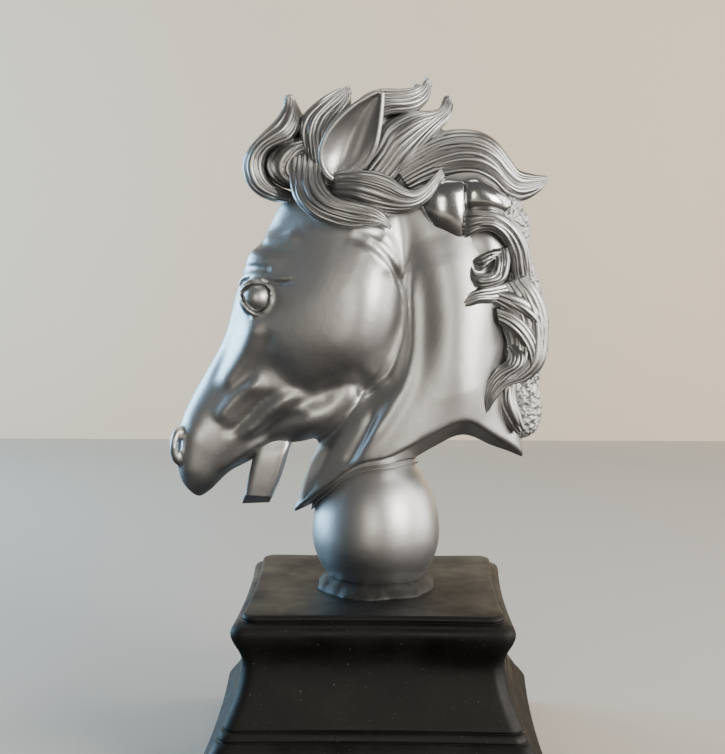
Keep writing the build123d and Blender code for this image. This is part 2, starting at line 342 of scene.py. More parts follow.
# %% Ribs of the skull and the neck
# top point, bottom point (x, z), then half widths from top to bottom
SKULL = [
    ((6, 259), (20, 232), (7, 12, 13, 12, 7)),
    ((-20, 262), (12, 212), (9, 17, 21, 20, 12)),
    ((-38.5, 254), (9.5, 192), (9, 18, 23.5, 24.5, 15)),
    ((-48.8, 236.5), (4, 173), (11, 19.5, 24, 24.5, 13)),
    ((-60.4, 214.5), (-13, 163), (11.5, 19.5, 22.5, 20.5, 10.5)),
    ((-66.3, 193.5), (-29, 149), (8.5, 14.5, 17, 15.5, 8)),
    ((-73.3, 180), (-42, 144.5), (7.5, 12, 14.2, 13, 7.5)),
    ((-80.2, 168), (-55, 136.2), (7, 11.5, 13, 12, 7)),
    ((-86, 156), (-65, 131), (7.5, 12.5, 13.8, 12, 6.5)),
    ((-89, 142), (-73, 123), (8, 12.5, 13, 11, 6)),
    ((-87.2, 129), (-79, 118.8), (5.5, 8.5, 9, 8, 5)),
]
# front point, back point, then half widths from the throat to the crest
NECK = [
    ((-42, 100), (70, 118), (15, 28, 31, 26, 14)),
    ((-35.5, 117), (66, 143), (13, 26, 29, 25, 13)),
    ((-27, 141), (64, 170), (11, 23, 27, 24, 12)),
    ((-12, 163), (63, 193), (10, 20, 25, 22, 11)),
    ((0, 184), (61, 216), (9, 17.5, 22.5, 20, 10)),
    ((4, 205), (54, 236), (8, 16, 20, 18, 9)),
    ((2, 228), (42, 251), (7, 14, 17, 15, 8)),
    ((-4, 246), (28, 262), (6, 11, 13, 11, 6)),
]
# upper point, lower point of the flesh between the jaw and the neck
THROAT = [
    ((-50, 164), (-44, 144.6), (6, 10, 11.5, 10, 5)),
    ((-42, 168), (-37, 144.2), (8, 13, 14.5, 12.5, 7)),
    ((-32, 172), (-29, 145.8), (10, 16.5, 18.5, 16, 9)),
    ((-20, 177), (-19, 150), (10, 16.5, 19, 17, 10)),
    ((-6, 183), (-8, 158), (7, 13, 16, 15, 9)),
]
ROUGH_CLAY, CUT_CLAY, FINE_CLAY, LAST_CLAY = 1.3, 0.75, 0.68, 0.83
print("ribs", len(SKULL), len(NECK), len(THROAT))


# %% Melt the three forms together
def flesh_rings(ribs, count=70, half_around=36):
    """Rings through ribs that give two outline points and five half widths."""
    rows = smooth_rows([(*a, *b, *widths) for a, b, widths in ribs], count)
    angle = np.linspace(0, math.pi, half_around + 1)
    share = (1 - np.cos(angle)) / 2
    rings = []
    for row in rows:
        width = smooth_rows([[0], *[[w] for w in row[4:]], [0]], half_around + 1)[:, 0]
        x = row[0] + (row[2] - row[0]) * share
        z = row[1] + (row[3] - row[1]) * share
        left = np.column_stack([x, -width, z])
        right = np.column_stack([x, width, z])[-2:0:-1]
        rings.append(np.vstack([left, right]))
    return rings


FORMS = (("skull", SKULL), ("neck", NECK), ("throat", THROAT))
forms = [skin(name, flesh_rings(ribs)) for name, ribs in FORMS]
head = join("head_and_neck", forms)
melt(head, ROUGH_CLAY, 24)
print("clay", len(head.data.vertices), "points")

# %% [markdown]
# ## The cut under the neck
# The neck ends in a cut that falls from both flanks to a keel, like the underside of a boat.
# A single flat cut can't do that, so two slanted cutters, drawn from the same keel line and
# slid outwards and upwards, take it off.


# %% Cut the keel
KEEL = [(-60, 101), (-37, 112), (-22, 119.5), (-8, 128.3), (8, 131.8), (25, 141.5), (39, 147.8),
        (52, 143), (62, 139.4), (80, 131)]
KEEL_SLOPE = 0.40


def keel_cutter(side):
    below = [(80, 60), (-60, 60)]
    reach = 45.0
    outline = np.vstack([smooth_rows(KEEL, 60), below])
    near = np.column_stack([outline[:, 0], np.full(len(outline), -0.01 * side), outline[:, 1]])
    return prism("cutter", near, near + (0, side * reach, KEEL_SLOPE * reach))


for side in (-1, 1):
    cut(head, keel_cutter(side))
melt(head, CUT_CLAY, 3)
print("cut head", len(head.data.vertices), "points")

# %% [markdown]
# ## Modelling tools
# The face is worked with three strokes, all drawn as lines in the side view and pressed into
# both sides at once: ridge raises or sinks a soft line, ledge lifts one side of a line and
# drops crisply on the other, and dome raises an oval. Each moves the clay along its normal.


# %% Strokes
class Clay:
    def __init__(self, obj):
        self.obj = obj
        self.co = points_of(obj)
        self.refresh()

    def refresh(self):
        move_points(self.obj, self.co)
        self.normal = normals_of(self.obj)
        side = np.clip((np.abs(self.normal[:, 1]) - 0.12) / 0.4, 0, 1)
        self.sides = side * side * (3 - 2 * side)

    def measure(self, path):
        """Distance in the side view to a path, the side of it, and the share along it."""
        path = smooth_rows(path, 12 * len(path))
        here = self.co[:, [0, 2]]
        best = np.full(len(here), 1e9)
        turn = np.zeros(len(here))
        along = np.zeros(len(here))
        for i in range(len(path) - 1):
            a, b = path[i], path[i + 1]
            step = b - a
            t = np.clip(((here - a) @ step) / (step @ step), 0, 1)
            off = here - (a + t[:, None] * step)
            d = np.hypot(off[:, 0], off[:, 1])
            nearer = d < best
            best[nearer] = d[nearer]
            turn[nearer] = np.sign(step[0] * off[nearer, 1] - step[1] * off[nearer, 0])
            along[nearer] = (i + t[nearer]) / (len(path) - 1)
        return best, turn, along

    def push(self, amount, whole=False):
        amount = amount if whole else amount * self.sides
        self.co = self.co + self.normal * amount[:, None]

    def ridge(self, path, width, height, taper=True, whole=False):
        d, _, along = self.measure(path)
        fade = np.clip(np.minimum(along, 1 - along) / 0.18, 0, 1) if taper else 1.0
        self.push(height * np.exp(-(d / width) ** 2) * fade, whole)

    def ledge(self, path, width, height, crisp=0.6):
        """Raise the left-hand side of the path, looking along it; it drops at the line."""
        d, turn, along = self.measure(path)
        signed = d * turn
        fade = np.clip(np.minimum(along, 1 - along) / 0.15, 0, 1)
        rise = 1 / (1 + np.exp(-signed / crisp))
        self.push(height * rise * np.exp(-np.maximum(signed, 0) / width) * fade)

    def dome(self, centre, radii, height, tilt=0.0, whole=False, power=2.0):
        x = self.co[:, 0] - centre[0]
        z = self.co[:, 2] - centre[1]
        c, s = math.cos(math.radians(tilt)), math.sin(math.radians(tilt))
        far = ((x * c + z * s) / radii[0]) ** 2 + ((z * c - x * s) / radii[1]) ** 2
        self.push(height * np.exp(-far ** (power / 2)), whole)


clay = Clay(head)
print("clay ready,", len(clay.co), "points")

# %% [markdown]
# ## Cheek, brow and muzzle
# The big round muscle of the jaw stands proud of the neck, with a sharp fold behind it. Under
# the eye runs the thin facial crest, and cords of muscle fan from the nostril to the cheek.

# %% Large forms
CHEEK_BACK = [(-12, 236), (-4, 233), (3, 228), (8, 221), (10.8, 212), (11.3, 203), (10, 192), (6.5, 181),
              (1, 173), (-5, 168)]
clay.dome((-12, 203), (25, 27), 3.0, power=3.0)
clay.ledge(CHEEK_BACK[::-1], 6.0, 2.5, crisp=0.4)
clay.ridge([(p[0] + 1.2, p[1] - 0.6) for p in CHEEK_BACK], 1.1, -1.3)
clay.refresh()
clay.ridge([(-14, 172), (-24, 166), (-34, 170), (-42, 178), (-50, 183)], 6.0, -2.0)
clay.refresh()
print("cheek stands out")

# %% Muscles of the face
clay.ridge([(-50, 203), (-53, 194), (-57, 185), (-62, 176), (-68, 168)], 4.6, 1.9)
clay.ridge([(-59, 204), (-63, 193), (-67, 182), (-72, 171)], 2.6, -0.9)
clay.ridge([(-44, 197), (-49, 186), (-56, 175), (-64, 166)], 3.6, -0.9)
clay.ridge([(-69, 155), (-64, 162), (-57, 169), (-47, 174.5)], 3.2, 1.9)
clay.ridge([(-68, 151.5), (-62, 152), (-55, 158), (-48, 165), (-40, 170)], 2.3, -1.2)
clay.ridge([(-60, 148), (-52, 154), (-45, 161), (-35, 167), (-28, 166)], 3.2, 1.8)
clay.ridge([(-56, 144), (-47, 151), (-38, 157), (-28, 160)], 2.4, -1.3)
clay.ridge([(-70, 132), (-62, 138), (-54, 144), (-47, 148.5)], 2.2, 1.2)
clay.dome((-79, 150), (8, 9), 1.2)
clay.dome((-78, 131), (9, 8), 0.9)
clay.refresh()
print("face worked")

# %% Brow, eye socket and temple
clay.dome((-57.5, 226), (7, 6), 1.5, whole=True)
clay.dome((-51, 227.5), (10, 5.0), 3.0, tilt=-8)
clay.dome((-50.5, 210.5), (7.5, 6.5), -1.6, power=3.0)
clay.ridge([(-49, 235), (-41, 235), (-32, 237.5)], 3.0, 1.1)
clay.dome((-38, 241), (7.5, 4.5), -1.1, tilt=25)
clay.refresh()
print("brow and temple worked")

# %% Folds behind the cheek and the cords of the neck
clay.ledge([(10.5, 222), (7, 229), (2, 234.5), (-6, 238)], 4.0, 1.5, crisp=0.35)
clay.ledge([(11.5, 219), (10, 228), (7, 235), (3, 238.5)], 3.5, 1.7, crisp=0.35)
clay.ridge([(9, 240), (-2, 240.5), (-12, 239)], 3.0, 1.0)
clay.refresh()
CORD = [(16.8, 225), (16.6, 214), (17.2, 200), (16.6, 187), (13.5, 174), (7, 162), (-1, 150), (-8, 139)]
clay.ridge(CORD, 3.4, 2.0)
clay.ridge([(p[0] - 3.6, p[1] + 0.4) for p in CORD[:5]], 1.2, -1.1)
clay.ridge([(-2, 165), (-8, 156), (-15, 146), (-22, 134), (-29, 121)], 3.6, 1.9)
clay.ridge([(1, 163), (-3, 154), (-8, 145), (-13, 137)], 1.8, -1.4)
clay.ledge([(6, 176), (0, 170), (-7, 164), (-14, 158.5), (-22, 152), (-28.5, 147)], 5.0, 1.6, crisp=0.4)
clay.ridge([(24, 236), (28, 222), (31, 206), (34, 190), (38, 172), (43, 156)], 11.0, 1.4)
clay.refresh()
print("neck worked")

# %% [markdown]
# ## Lids and nostrils
# The lids are a shell round the eye with an almond opening cut in it. Their edges and the
# nostril rims are thin rolls of clay laid on the form, which hold a crisp edge better than a
# stroke does. Each roll is a tapered tube whose line is dropped sideways onto the head, and a
# last remesh melts it in. The creases are pressed in after that, so that they stay sharp.


# %% A tapered roll of clay
def tube(name, path, radii, around=12):
    """Tapered roll along points (x, y, z), its radii drawn smoothly through a few values."""
    rows = smooth_rows(path, 8 * len(path))
    thick = smooth_rows([[r] for r in radii], len(rows))[:, 0]
    along = np.gradient(rows, axis=0)
    along /= np.linalg.norm(along, axis=1)[:, None]
    first = np.cross(along, (0.31, 0.87, 0.38))
    first /= np.linalg.norm(first, axis=1)[:, None]
    second = np.cross(along, first)
    rings = []
    for k in range(len(rows)):
        turn = np.linspace(0, 2 * math.pi, around, endpoint=False)[:, None]
        rings.append(rows[k] + thick[k] * (np.cos(turn) * first[k] + np.sin(turn) * second[k]))
    return skin(name, rings)


print("rolls can be laid")


# %% Lines laid on the face
def surface_of(obj):
    """Function that finds how far a point of the side view stands out from the middle plane."""
    tree = BVHTree.FromObject(obj, bpy.context.evaluated_depsgraph_get())

    def out(x, z, otherwise=10.0):
        hit = tree.ray_cast(Vector((x * MM, -80 * MM, z * MM)), Vector((0, 1, 0)))[0]
        return -hit.y / MM if hit else otherwise

    return out


EYE = (-50.6, 14.6, 210.0)
EYE_RADIUS = 6.8
LID_RADIUS = 8.5
out = surface_of(head)


def on_face(path, side, lift=0.0):
    """Points of a line laid on the face, over the lids where those stand further out."""
    laid = []
    for x, z in path:
        flat = math.hypot(x - EYE[0], z - EYE[2])
        lid = EYE[1] + math.sqrt(max(LID_RADIUS**2 - flat**2, 0.0)) if flat < LID_RADIUS else 0.0
        laid.append((x, side * (max(out(x, z), lid) + lift), z))
    return laid


print("face beside the eye stands", round(out(EYE[0] + 12, EYE[2]), 1), "mm out")

# %% Shell of the lids and its opening
OPENING = [(-57.3, 213.4), (-54.4, 215.6), (-50.8, 216.3), (-47.4, 215.8), (-45.2, 214.2), (-44.9, 210.4),
           (-45.9, 206.9), (-47.9, 204.7), (-50.8, 203.7), (-53.6, 205.0), (-55.8, 207.6), (-57.2, 210.6)]
for side in (-1, 1):
    bpy.ops.mesh.primitive_uv_sphere_add(segments=48, ring_count=32, radius=LID_RADIUS * MM)
    lids = bpy.context.object
    lids.location = (EYE[0] * MM, side * EYE[1] * MM, EYE[2] * MM)
    bpy.ops.object.transform_apply(location=True)
    head = join("head_and_neck", [head, lids])
melt(head, FINE_CLAY, 0)
almond = smooth_rows(OPENING + OPENING[:1], 4 * len(OPENING) + 1)[:-1]
for side in (-1, 1):
    bottom = [(x, side * (EYE[1] + 1.0), z) for x, z in almond]
    cut(head, prism("lid_opening", bottom, [(x, side * 40.0, z) for x, z in almond]))
print("lids open,", len(almond), "points round")

# %% Rims of the lids and the nostrils
UPPER_LID = [(-59.4, 213.2), (-58.3, 216.8), (-54.5, 218.9), (-50, 219.4), (-46, 219.0), (-42.5, 218.3),
             (-38, 218.4), (-33, 220)]
LOWER_LID = [(-58.4, 211.5), (-57.2, 207.6), (-54.6, 204.2), (-51, 202.2), (-47.6, 202.8), (-44.6, 205.6),
             (-42.9, 209.6), (-42.8, 213.8)]
UPPER_RADII = (0.6, 1.2, 1.5, 1.6, 1.5, 1.3, 1.1, 0.4)
LOWER_RADII = (0.6, 0.9, 1.0, 1.0, 0.9, 0.9, 0.9, 0.4)
NOSTRIL = (-85.8, 9.8, 144.0)
rolls = []
for side in (-1, 1):
    rolls.append(tube("upper_lid", on_face(UPPER_LID, side, -0.5), UPPER_RADII))
    rolls.append(tube("lower_lid", on_face(LOWER_LID, side, -0.5), LOWER_RADII))
    rim = []
    for k in range(13):
        a = 2 * math.pi * k / 12
        rim.append((NOSTRIL[0] + 2.4 * math.cos(a), side * (NOSTRIL[1] - 3.4 * math.cos(a)),
                    NOSTRIL[2] + 7.0 * math.sin(a)))
    rolls.append(tube("nostril_rim", rim, (1.8,) * 13))
print("rolls", len(rolls))

# %% Nostril holes
for side in (-1, 1):
    bpy.ops.mesh.primitive_uv_sphere_add(segments=32, ring_count=20, radius=1.0)
    hole = bpy.context.object
    hole.scale = (4.0 * MM, 2.4 * MM, 5.4 * MM)
    hole.rotation_euler = (0, 0, side * math.radians(-30))
    hole.location = (-88.2 * MM, side * 10.2 * MM, NOSTRIL[2] * MM)
    cut(head, hole)
print("nostrils open")

# %% Melt the rolls in and press the creases round the eye
head = join("head_and_neck", [head] + rolls)
melt(head, LAST_CLAY, 4)
LID_CREASE = [(-60, 212.8), (-58.2, 216), (-54, 217.3), (-49, 217.5), (-44, 216.9), (-39.5, 216.3),
              (-34, 217.4)]
creases = Clay(head)
creases.ridge(LID_CREASE, 0.9, -1.3)
creases.ridge([(-57, 222.6), (-51, 223), (-44, 222.2)], 1.3, -0.8)
creases.ridge([(-59.2, 213.4), (-58.2, 208.6), (-55.2, 203.8), (-52.4, 201.2)], 0.8, -0.8)
creases.refresh()
settle(head, skin_silver, "satin_silver", "head_casting")
print("finished head", len(head.data.polygons), "faces")

# %% [markdown]
# ## Eyes
# The eye is a plain blank ball, cast with the rest, that shows as a dome between the lids. It
# could be raised out of the head's own skin, but the dark line between ball and lid needs a
# real gap, so it is a sphere of its own, with its back flattened where it lies in the socket.

# %% Eyeballs
for side, word in ((-1, "left"), (1, "right")):
    deselect()
    bpy.ops.mesh.primitive_uv_sphere_add(segments=48, ring_count=32, radius=EYE_RADIUS * MM)
    eye = bpy.context.object
    eye.name = f"eyeball_{word}"
    place = points_of(eye)
    place[:, 1] = np.where(place[:, 1] * side < 0, place[:, 1] * 0.6, place[:, 1])
    move_points(eye, place + (EYE[0], side * EYE[1], EYE[2]))
    settle(eye, skin_silver, "satin_silver", f"eye_{word}")
print("eyes", EYE_RADIUS * 2, "mm across")

# %% [markdown]
# ## Ears
# A horse's ear is a leaf curled into a cup, with a rolled rim and a long fold inside. A bent
# and thickened sheet would give an even wall, but a cast ear is thick behind and sharp at its
# rim. So ribs across the leaf carry a hollow front and a rounded back, and a roll of clay
# makes the rim.

# %% Ribs of the ear
# front rim, back rim (x, z), depth of the cup, distance of the rim from the middle plane
EAR = [
    ((-17.6, 260.6), (-15.4, 260.4), 0.4, 17.5),
    ((-20.6, 263.5), (-10.0, 263.0), 2.2, 18.5),
    ((-22.4, 267.5), (-4.6, 266.4), 4.2, 19.5),
    ((-22.7, 272.0), (-1.2, 271.0), 5.4, 20.3),
    ((-20.9, 277.5), (0.7, 276.0), 5.6, 20.8),
    ((-17.6, 282.6), (1.8, 281.5), 5.0, 21.0),
    ((-13.2, 287.4), (2.5, 286.5), 3.8, 21.0),
    ((-8.2, 291.6), (2.9, 290.8), 2.6, 20.8),
    ((-2.4, 295.2), (3.1, 294.3), 1.2, 20.4),
    ((1.4, 296.9), (3.0, 296.3), 0.3, 20.0),
]


def ear_rings():
    rows = smooth_rows([(*a, *b, depth, y) for a, b, depth, y in EAR], 60)
    u = np.linspace(0, 1, 28)
    cup = np.sin(np.pi * u) ** 0.7
    fold = 0.11 * np.exp(-((u - 0.62) / 0.13) ** 2)
    rings = []
    for ax, az, bx, bz, depth, y in rows:
        x = ax + (bx - ax) * u
        z = az + (bz - az) * u
        front = np.column_stack([x, -(y - 1.25 * depth * (cup - fold)), z])
        back = np.column_stack([x, -(y - 1.2 - 1.6 * depth * np.sin(np.pi * u) ** 0.8), z])[::-1]
        rings.append(np.vstack([front, back]))
    return rings


print("ear ribs", len(EAR))

# %% Left ear with its rim, then its mirror
rim_rows = smooth_rows([(*a, *b, depth, y) for a, b, depth, y in EAR], 16)
front_rim = [(r[0], -r[5] - 0.7, r[1]) for r in rim_rows]
back_rim = [(r[2], -r[5] - 0.7, r[3]) for r in rim_rows[::-1]]
ear_rim = tube("ear_rim", front_rim + back_rim, [1.2] * 2 * len(rim_rows))
ear_left = join("ear_shell_left", [skin("ear_leaf", ear_rings()), ear_rim])
melt(ear_left, 0.45, 3)
ear_right = mirrored(ear_left, "ear_shell_right")
settle(ear_left, skin_silver, "satin_silver", "ear_left")
settle(ear_right, skin_silver, "satin_silver", "ear_right")
print("ear", len(ear_left.data.polygons), "faces")

# %% [markdown]
# ## Lower jaw
# The jaw hangs open as a plain tapering bar, cut off square, with the cut dropping to a keel
# like the one under the neck. A bevelled block could be bent to it, but its width and its bend
# change together, so soft-cornered rings run along the bar instead.

# %% Jaw
JAW = [
    ((-48.5, 158), (-40, 152), 5.0),
    ((-51.5, 147.5), (-37.2, 144.9), 6.6),
    ((-54.2, 138.6), (-38.8, 139.6), 8.2),
    ((-56.6, 129), (-42, 129), 8.4),
    ((-58.2, 121.5), (-45.6, 120.5), 8.0),
]
JAW_TIP = ((-59.8, 116.2), (-47.5, 116.8))


SQUARENESS = 0.42


def jaw_rings():
    rows = smooth_rows([(*a, *b, half) for a, b, half in JAW], 40)
    angle = np.linspace(0, 2 * math.pi, 64, endpoint=False)
    across = np.sign(np.cos(angle)) * np.abs(np.cos(angle)) ** SQUARENESS
    sideways = np.sign(np.sin(angle)) * np.abs(np.sin(angle)) ** SQUARENESS
    rings = []
    for ax, az, bx, bz, half in rows:
        x = (ax + bx) / 2 + (ax - bx) / 2 * across
        z = (az + bz) / 2 + (az - bz) / 2 * across
        rings.append(np.column_stack([x, half * sideways, z]))
    (ax, az), (bx, bz) = JAW_TIP
    keel_x = (ax + bx) / 2 + (ax - bx) / 2 * across
    keel_z = (az + bz) / 2 + (az - bz) / 2 * across
    last = rings[-1]
    for share in (0.04, 0.5, 0.96):
        x = last[:, 0] + (keel_x - last[:, 0]) * share
        z = last[:, 2] + (keel_z - last[:, 2]) * share
        rings.append(np.column_stack([x, last[:, 1] * (1 - share), z]))
    return rings


jaw = skin("jaw_bar", jaw_rings())
settle(jaw, skin_silver, "satin_silver", "lower_jaw")
print("jaw", len(jaw.data.polygons), "faces")

# %% [markdown]
# ## Mane
# Each lock is a bundle of strands that runs between two edges and dies out in a point. A lock
# is drawn like the head, by ribs between its two edges, and its outer side is combed: round
# strands with sharp valleys between them, uneven in width, follow the edges from root to tip.
# Hair curves with a thickness would look like rope; cast hair is one body with grooves in it,
# over which a few loose strands cross from one side to the other.


# %% A loose strand
def read_ribs(ribs, count):
    """Rows (edge, edge, half thickness, offset sideways) drawn through ribs of a lock."""
    return smooth_rows([(*r[0], *r[1], r[2], r[3] if len(r) == 4 else 0.0) for r in ribs], count)


def overlay(rows, side, rng):
    """Rings of one loose strand that lies on a lock, thins out at both ends and drifts across."""
    first = int(len(rows) * rng.uniform(0.0, 0.35))
    last = int(len(rows) * rng.uniform(0.72, 0.99))
    share, drift = rng.uniform(0.14, 0.86), rng.uniform(-0.1, 0.1)
    wide, tall = rng.uniform(0.9, 1.6), rng.uniform(0.8, 1.3)
    turn = np.linspace(0, 2 * math.pi, 12, endpoint=False)[:, None]
    outwards = np.array((0.0, side, 0.0))
    rings = []
    for i in range(first, last):
        ax, az, bx, bz, half, y = rows[i]
        t = (i - first) / max(last - 1 - first, 1)
        fade = max(math.sin(math.pi * t), 0.02) ** 0.6
        s = min(max(share + drift * t, 0.08), 0.92)
        span = np.array([(ax - bx) / 2, 0.0, (az - bz) / 2])
        reach = float(np.linalg.norm(span))
        c, n = 1 - 2 * s, math.sqrt(1 - (1 - 2 * s) ** 2)
        spot = np.array([(ax + bx) / 2, side * y, (az + bz) / 2]) + c * span + n * max(half, 0.2) * outwards
        normal = c * max(half, 0.2) * span / reach + n * reach * outwards
        normal /= np.linalg.norm(normal)
        across = -n * span + c * max(half, 0.2) * outwards
        across /= np.linalg.norm(across)
        thin = min(1.0, reach / 4.0) * fade
        oval = wide * np.cos(turn) * across + tall * np.sin(turn) * normal
        rings.append(spot + normal * 0.25 * fade + thin * oval)
    return rings


print("strands can be laid")


# %% A combed lock
def lock(name, ribs, strands, seed, comb=1.15, rings=80, side=-1, loose=0):
    """Bundle of strands. Ribs are (edge, edge, half thickness) with an optional offset sideways."""
    rng = random.Random(seed)
    rows = read_ribs(ribs, rings)
    count = max(strands, 1)
    points = max(24, 16 * strands)
    angle = np.linspace(0, math.pi, points + 1)
    share = (1 - np.cos(angle)) / 2
    widths = np.array([rng.uniform(0.5, 1.5) for _ in range(count)])
    bounds = np.concatenate([[0], np.cumsum(widths)]) / widths.sum()
    height = np.array([rng.uniform(0.6, 1.0) for _ in range(count)])
    phase = rng.uniform(0, 2 * math.pi)
    result = []
    for i, (ax, az, bx, bz, half, y) in enumerate(rows):
        t = i / (rings - 1)
        centre = np.array([(ax + bx) / 2, 0.0, (az + bz) / 2])
        span = np.array([(ax - bx) / 2, 0.0, (az - bz) / 2])
        reach = float(np.linalg.norm(span))
        half = max(half, 0.2)
        swing = 0.05 * math.sin(2 * math.pi * 1.2 * t + phase) * math.sin(math.pi * t)
        u = np.clip(share + swing * np.sin(math.pi * share), 0, 1)
        which = np.clip(np.searchsorted(bounds, u, side="right") - 1, 0, count - 1)
        local = (u - bounds[which]) / (bounds[which + 1] - bounds[which])
        round_top = np.sqrt(np.clip(1 - (2 * local - 1) ** 2, 0, 1))
        depth = min(comb, 1.5 * reach / count, 0.5 * half)
        relief = depth * (height[which] * round_top - 0.6) if strands else np.zeros_like(u)
        across = np.cos(angle)[:, None] * span / reach

        def face(outwards):
            rim = centre + np.cos(angle)[:, None] * span
            rim = rim + np.outer(np.sin(angle) * half, (0, outwards, 0))
            push = across + np.outer(np.sin(angle), (0, outwards, 0))
            return rim + relief[:, None] * push

        ring = np.vstack([face(side), face(-side)[-2:0:-1]])
        ring[:, 1] += side * y
        result.append(ring)
    pieces = [skin(name, result)]
    both = (side,) if len(ribs[0]) == 4 else (-1, 1)
    for face_side in both:
        for _ in range(loose):
            pieces.append(skin("loose_strand", overlay(rows, face_side, rng)))
    return join(name, pieces)


print("locks can be combed")

# %% [markdown]
# ## Where the locks lie
# Every row is one rib of a lock, in millimetres in the side view: a point on each edge, half
# the thickness, and for locks on the sides the distance from the middle plane. A rib list is a
# drawing in numbers, which is easier to correct than a mesh. The forelock curls over the brow,
# and the tufts behind it lean back like flames.

# %% Forelock
FORELOCK_CURL = [
    ((-37.5, 250.2), (-34.5, 255), 9),
    ((-44.5, 251), (-40.5, 257.5), 12),
    ((-51, 253.6), (-44.5, 260), 13),
    ((-55.7, 258.2), (-46.8, 263.4), 13),
    ((-58, 264.5), (-47.4, 267), 13),
    ((-57.3, 270.5), (-46.4, 270.8), 12.8),
    ((-54, 276), (-43.6, 273.8), 12.4),
    ((-49, 281.5), (-39.5, 275.2), 12),
    ((-44, 286.5), (-34.5, 277), 11),
    ((-41, 290.8), (-31.5, 282.5), 9),
    ((-39.3, 294), (-31.5, 289), 6),
    ((-37.8, 296.8), (-34.3, 294.6), 2),
]
FORELOCK_ROOT = [
    ((-33, 256), (-28, 258), 8),
    ((-40, 257), (-30, 263), 10.6),
    ((-46, 261), (-31, 266), 11.2),
    ((-48.5, 267), (-29.5, 268), 11.4),
    ((-46, 273), (-28, 269.5), 11.4),
    ((-40, 277.5), (-26.5, 271), 11),
    ((-32, 279.5), (-25, 272), 9.4),
    ((-27, 280), (-23, 273.5), 8),
]
FORELOCK_TUFT = [
    ((-30, 258), (-17, 256), 13),
    ((-30.5, 266), (-18, 265), 13.5),
    ((-32, 274), (-18.5, 273), 13.5),
    ((-33.5, 281), (-17.5, 280), 12.5),
    ((-32.5, 287.5), (-14, 285.6), 11),
    ((-28, 292.6), (-11.5, 289.6), 9),
    ((-22.5, 296.8), (-10.2, 292.6), 7),
    ((-17, 299.6), (-10.2, 295.8), 4.5),
    ((-13, 300.6), (-10.8, 298.8), 1.5),
]
print("forelock", len(FORELOCK_CURL) + len(FORELOCK_ROOT) + len(FORELOCK_TUFT), "ribs")

# %% Tufts on the crown, and the core that fills the gaps between them
POLL_TUFT = [
    ((-14, 284), (-4, 276), 12.5),
    ((-10.5, 290.4), (0, 282), 12),
    ((-5.5, 297), (5, 286.5), 11),
    ((2, 300), (10, 288), 10),
    ((9.5, 300), (14.7, 288.6), 8.5),
    ((15.5, 300.3), (19, 290.3), 7),
    ((19.8, 301.6), (22.6, 293.8), 5),
    ((21.5, 303.6), (24.3, 298), 3),
    ((22.4, 304.6), (24, 302.6), 1.2),
]
CROWN_TUFT = [
    ((-8, 267), (6, 254), 14.5),
    ((-1, 277), (12, 258.5), 15),
    ((3.5, 285.5), (17, 265), 15),
    ((10.5, 289.6), (22, 272.5), 13.5),
    ((17, 290.6), (27, 279.5), 11.5),
    ((22.5, 290.4), (31, 285), 9),
    ((27.2, 291.3), (33.4, 289.6), 6),
    ((28.8, 294), (33.9, 293.2), 3.6),
    ((30.2, 297), (33, 296), 1.4),
]
CREST_TUFT = [
    ((6, 268), (16, 254.5), 12.5),
    ((14, 274.5), (21.5, 256.5), 13),
    ((22, 279.4), (27, 258), 13),
    ((30, 282.2), (32.5, 259), 12.6),
    ((38, 283), (38, 260), 12),
    ((46, 281.8), (45, 259.5), 11),
    ((53, 277.6), (51, 256.6), 9.8),
    ((58.5, 270.6), (56, 252.6), 8.4),
    ((62.5, 265.6), (62, 250.8), 7),
    ((67.5, 263.8), (67.5, 252.4), 5.2),
    ((72, 262.8), (72, 255.6), 3.5),
    ((75.3, 261.8), (75, 259.3), 1.2),
]
HAIR_CORE = [
    ((-34, 274), (-30, 258), 7),
    ((-24, 284), (-23, 250), 8.5),
    ((-10, 288), (-11, 248), 9),
    ((4, 289), (4, 246), 9.5),
    ((15, 286), (16, 248), 9.5),
    ((25, 284), (26, 250), 9.5),
    ((36, 280), (37, 250), 9),
    ((47, 277), (48, 252), 8.5),
    ((56, 268), (57, 253), 6),
]
print("crown", len(POLL_TUFT) + len(CROWN_TUFT) + len(CREST_TUFT) + len(HAIR_CORE), "ribs")

# %% Locks beside the poll
UNDER_EAR = [
    ((-36.0, 273), (-22, 272), 2.5, 7),
    ((-36.8, 266), (-21, 266), 4.4, 12),
    ((-36.6, 259), (-21, 259.5), 5, 16.4),
    ((-34, 251.5), (-17.5, 254.5), 5.5, 19.3),
    ((-28, 245.2), (-12.5, 252), 5.5, 20.8),
    ((-20, 241.3), (-6, 251), 5, 21.8),
    ((-12, 239.6), (-1, 249.8), 4.5, 22.2),
    ((-4, 240.4), (3, 247.2), 3.6, 22.2),
    ((2, 240.8), (5.6, 244), 2.4, 22),
    ((6.6, 239.4), (7.6, 240.9), 0.9, 21.5),
]
POLL_SIDE = [
    ((-22, 263), (-22, 254), 2.5, 8),
    ((-16, 264), (-17, 251.5), 4, 15.4),
    ((-8, 264.6), (-10, 249.5), 4.8, 18),
    ((0, 264.2), (-3, 246.6), 5, 19),
    ((6.5, 262), (5, 245), 5, 19.3),
    ((11.5, 258), (12.2, 245.6), 4.8, 19),
    ((16.5, 256), (18.5, 248), 4.5, 18),
    ((21, 258), (23.5, 252), 4, 16.6),
    ((25, 262), (27, 257.6), 3.3, 15),
    ((28.5, 265.4), (30, 262), 1.2, 14),
]
print("poll", len(UNDER_EAR) + len(POLL_SIDE), "ribs")

# %% [markdown]
# ## Bead of filler and the locks down the neck
# Behind the ear a smooth bright bead of filler, in two halves with a seam, closes the gap
# between the tufts and the neck. It could be one sphere with a groove, but its halves differ in
# length, so each is a lock with no strands. Below it the mane falls in flat curls.

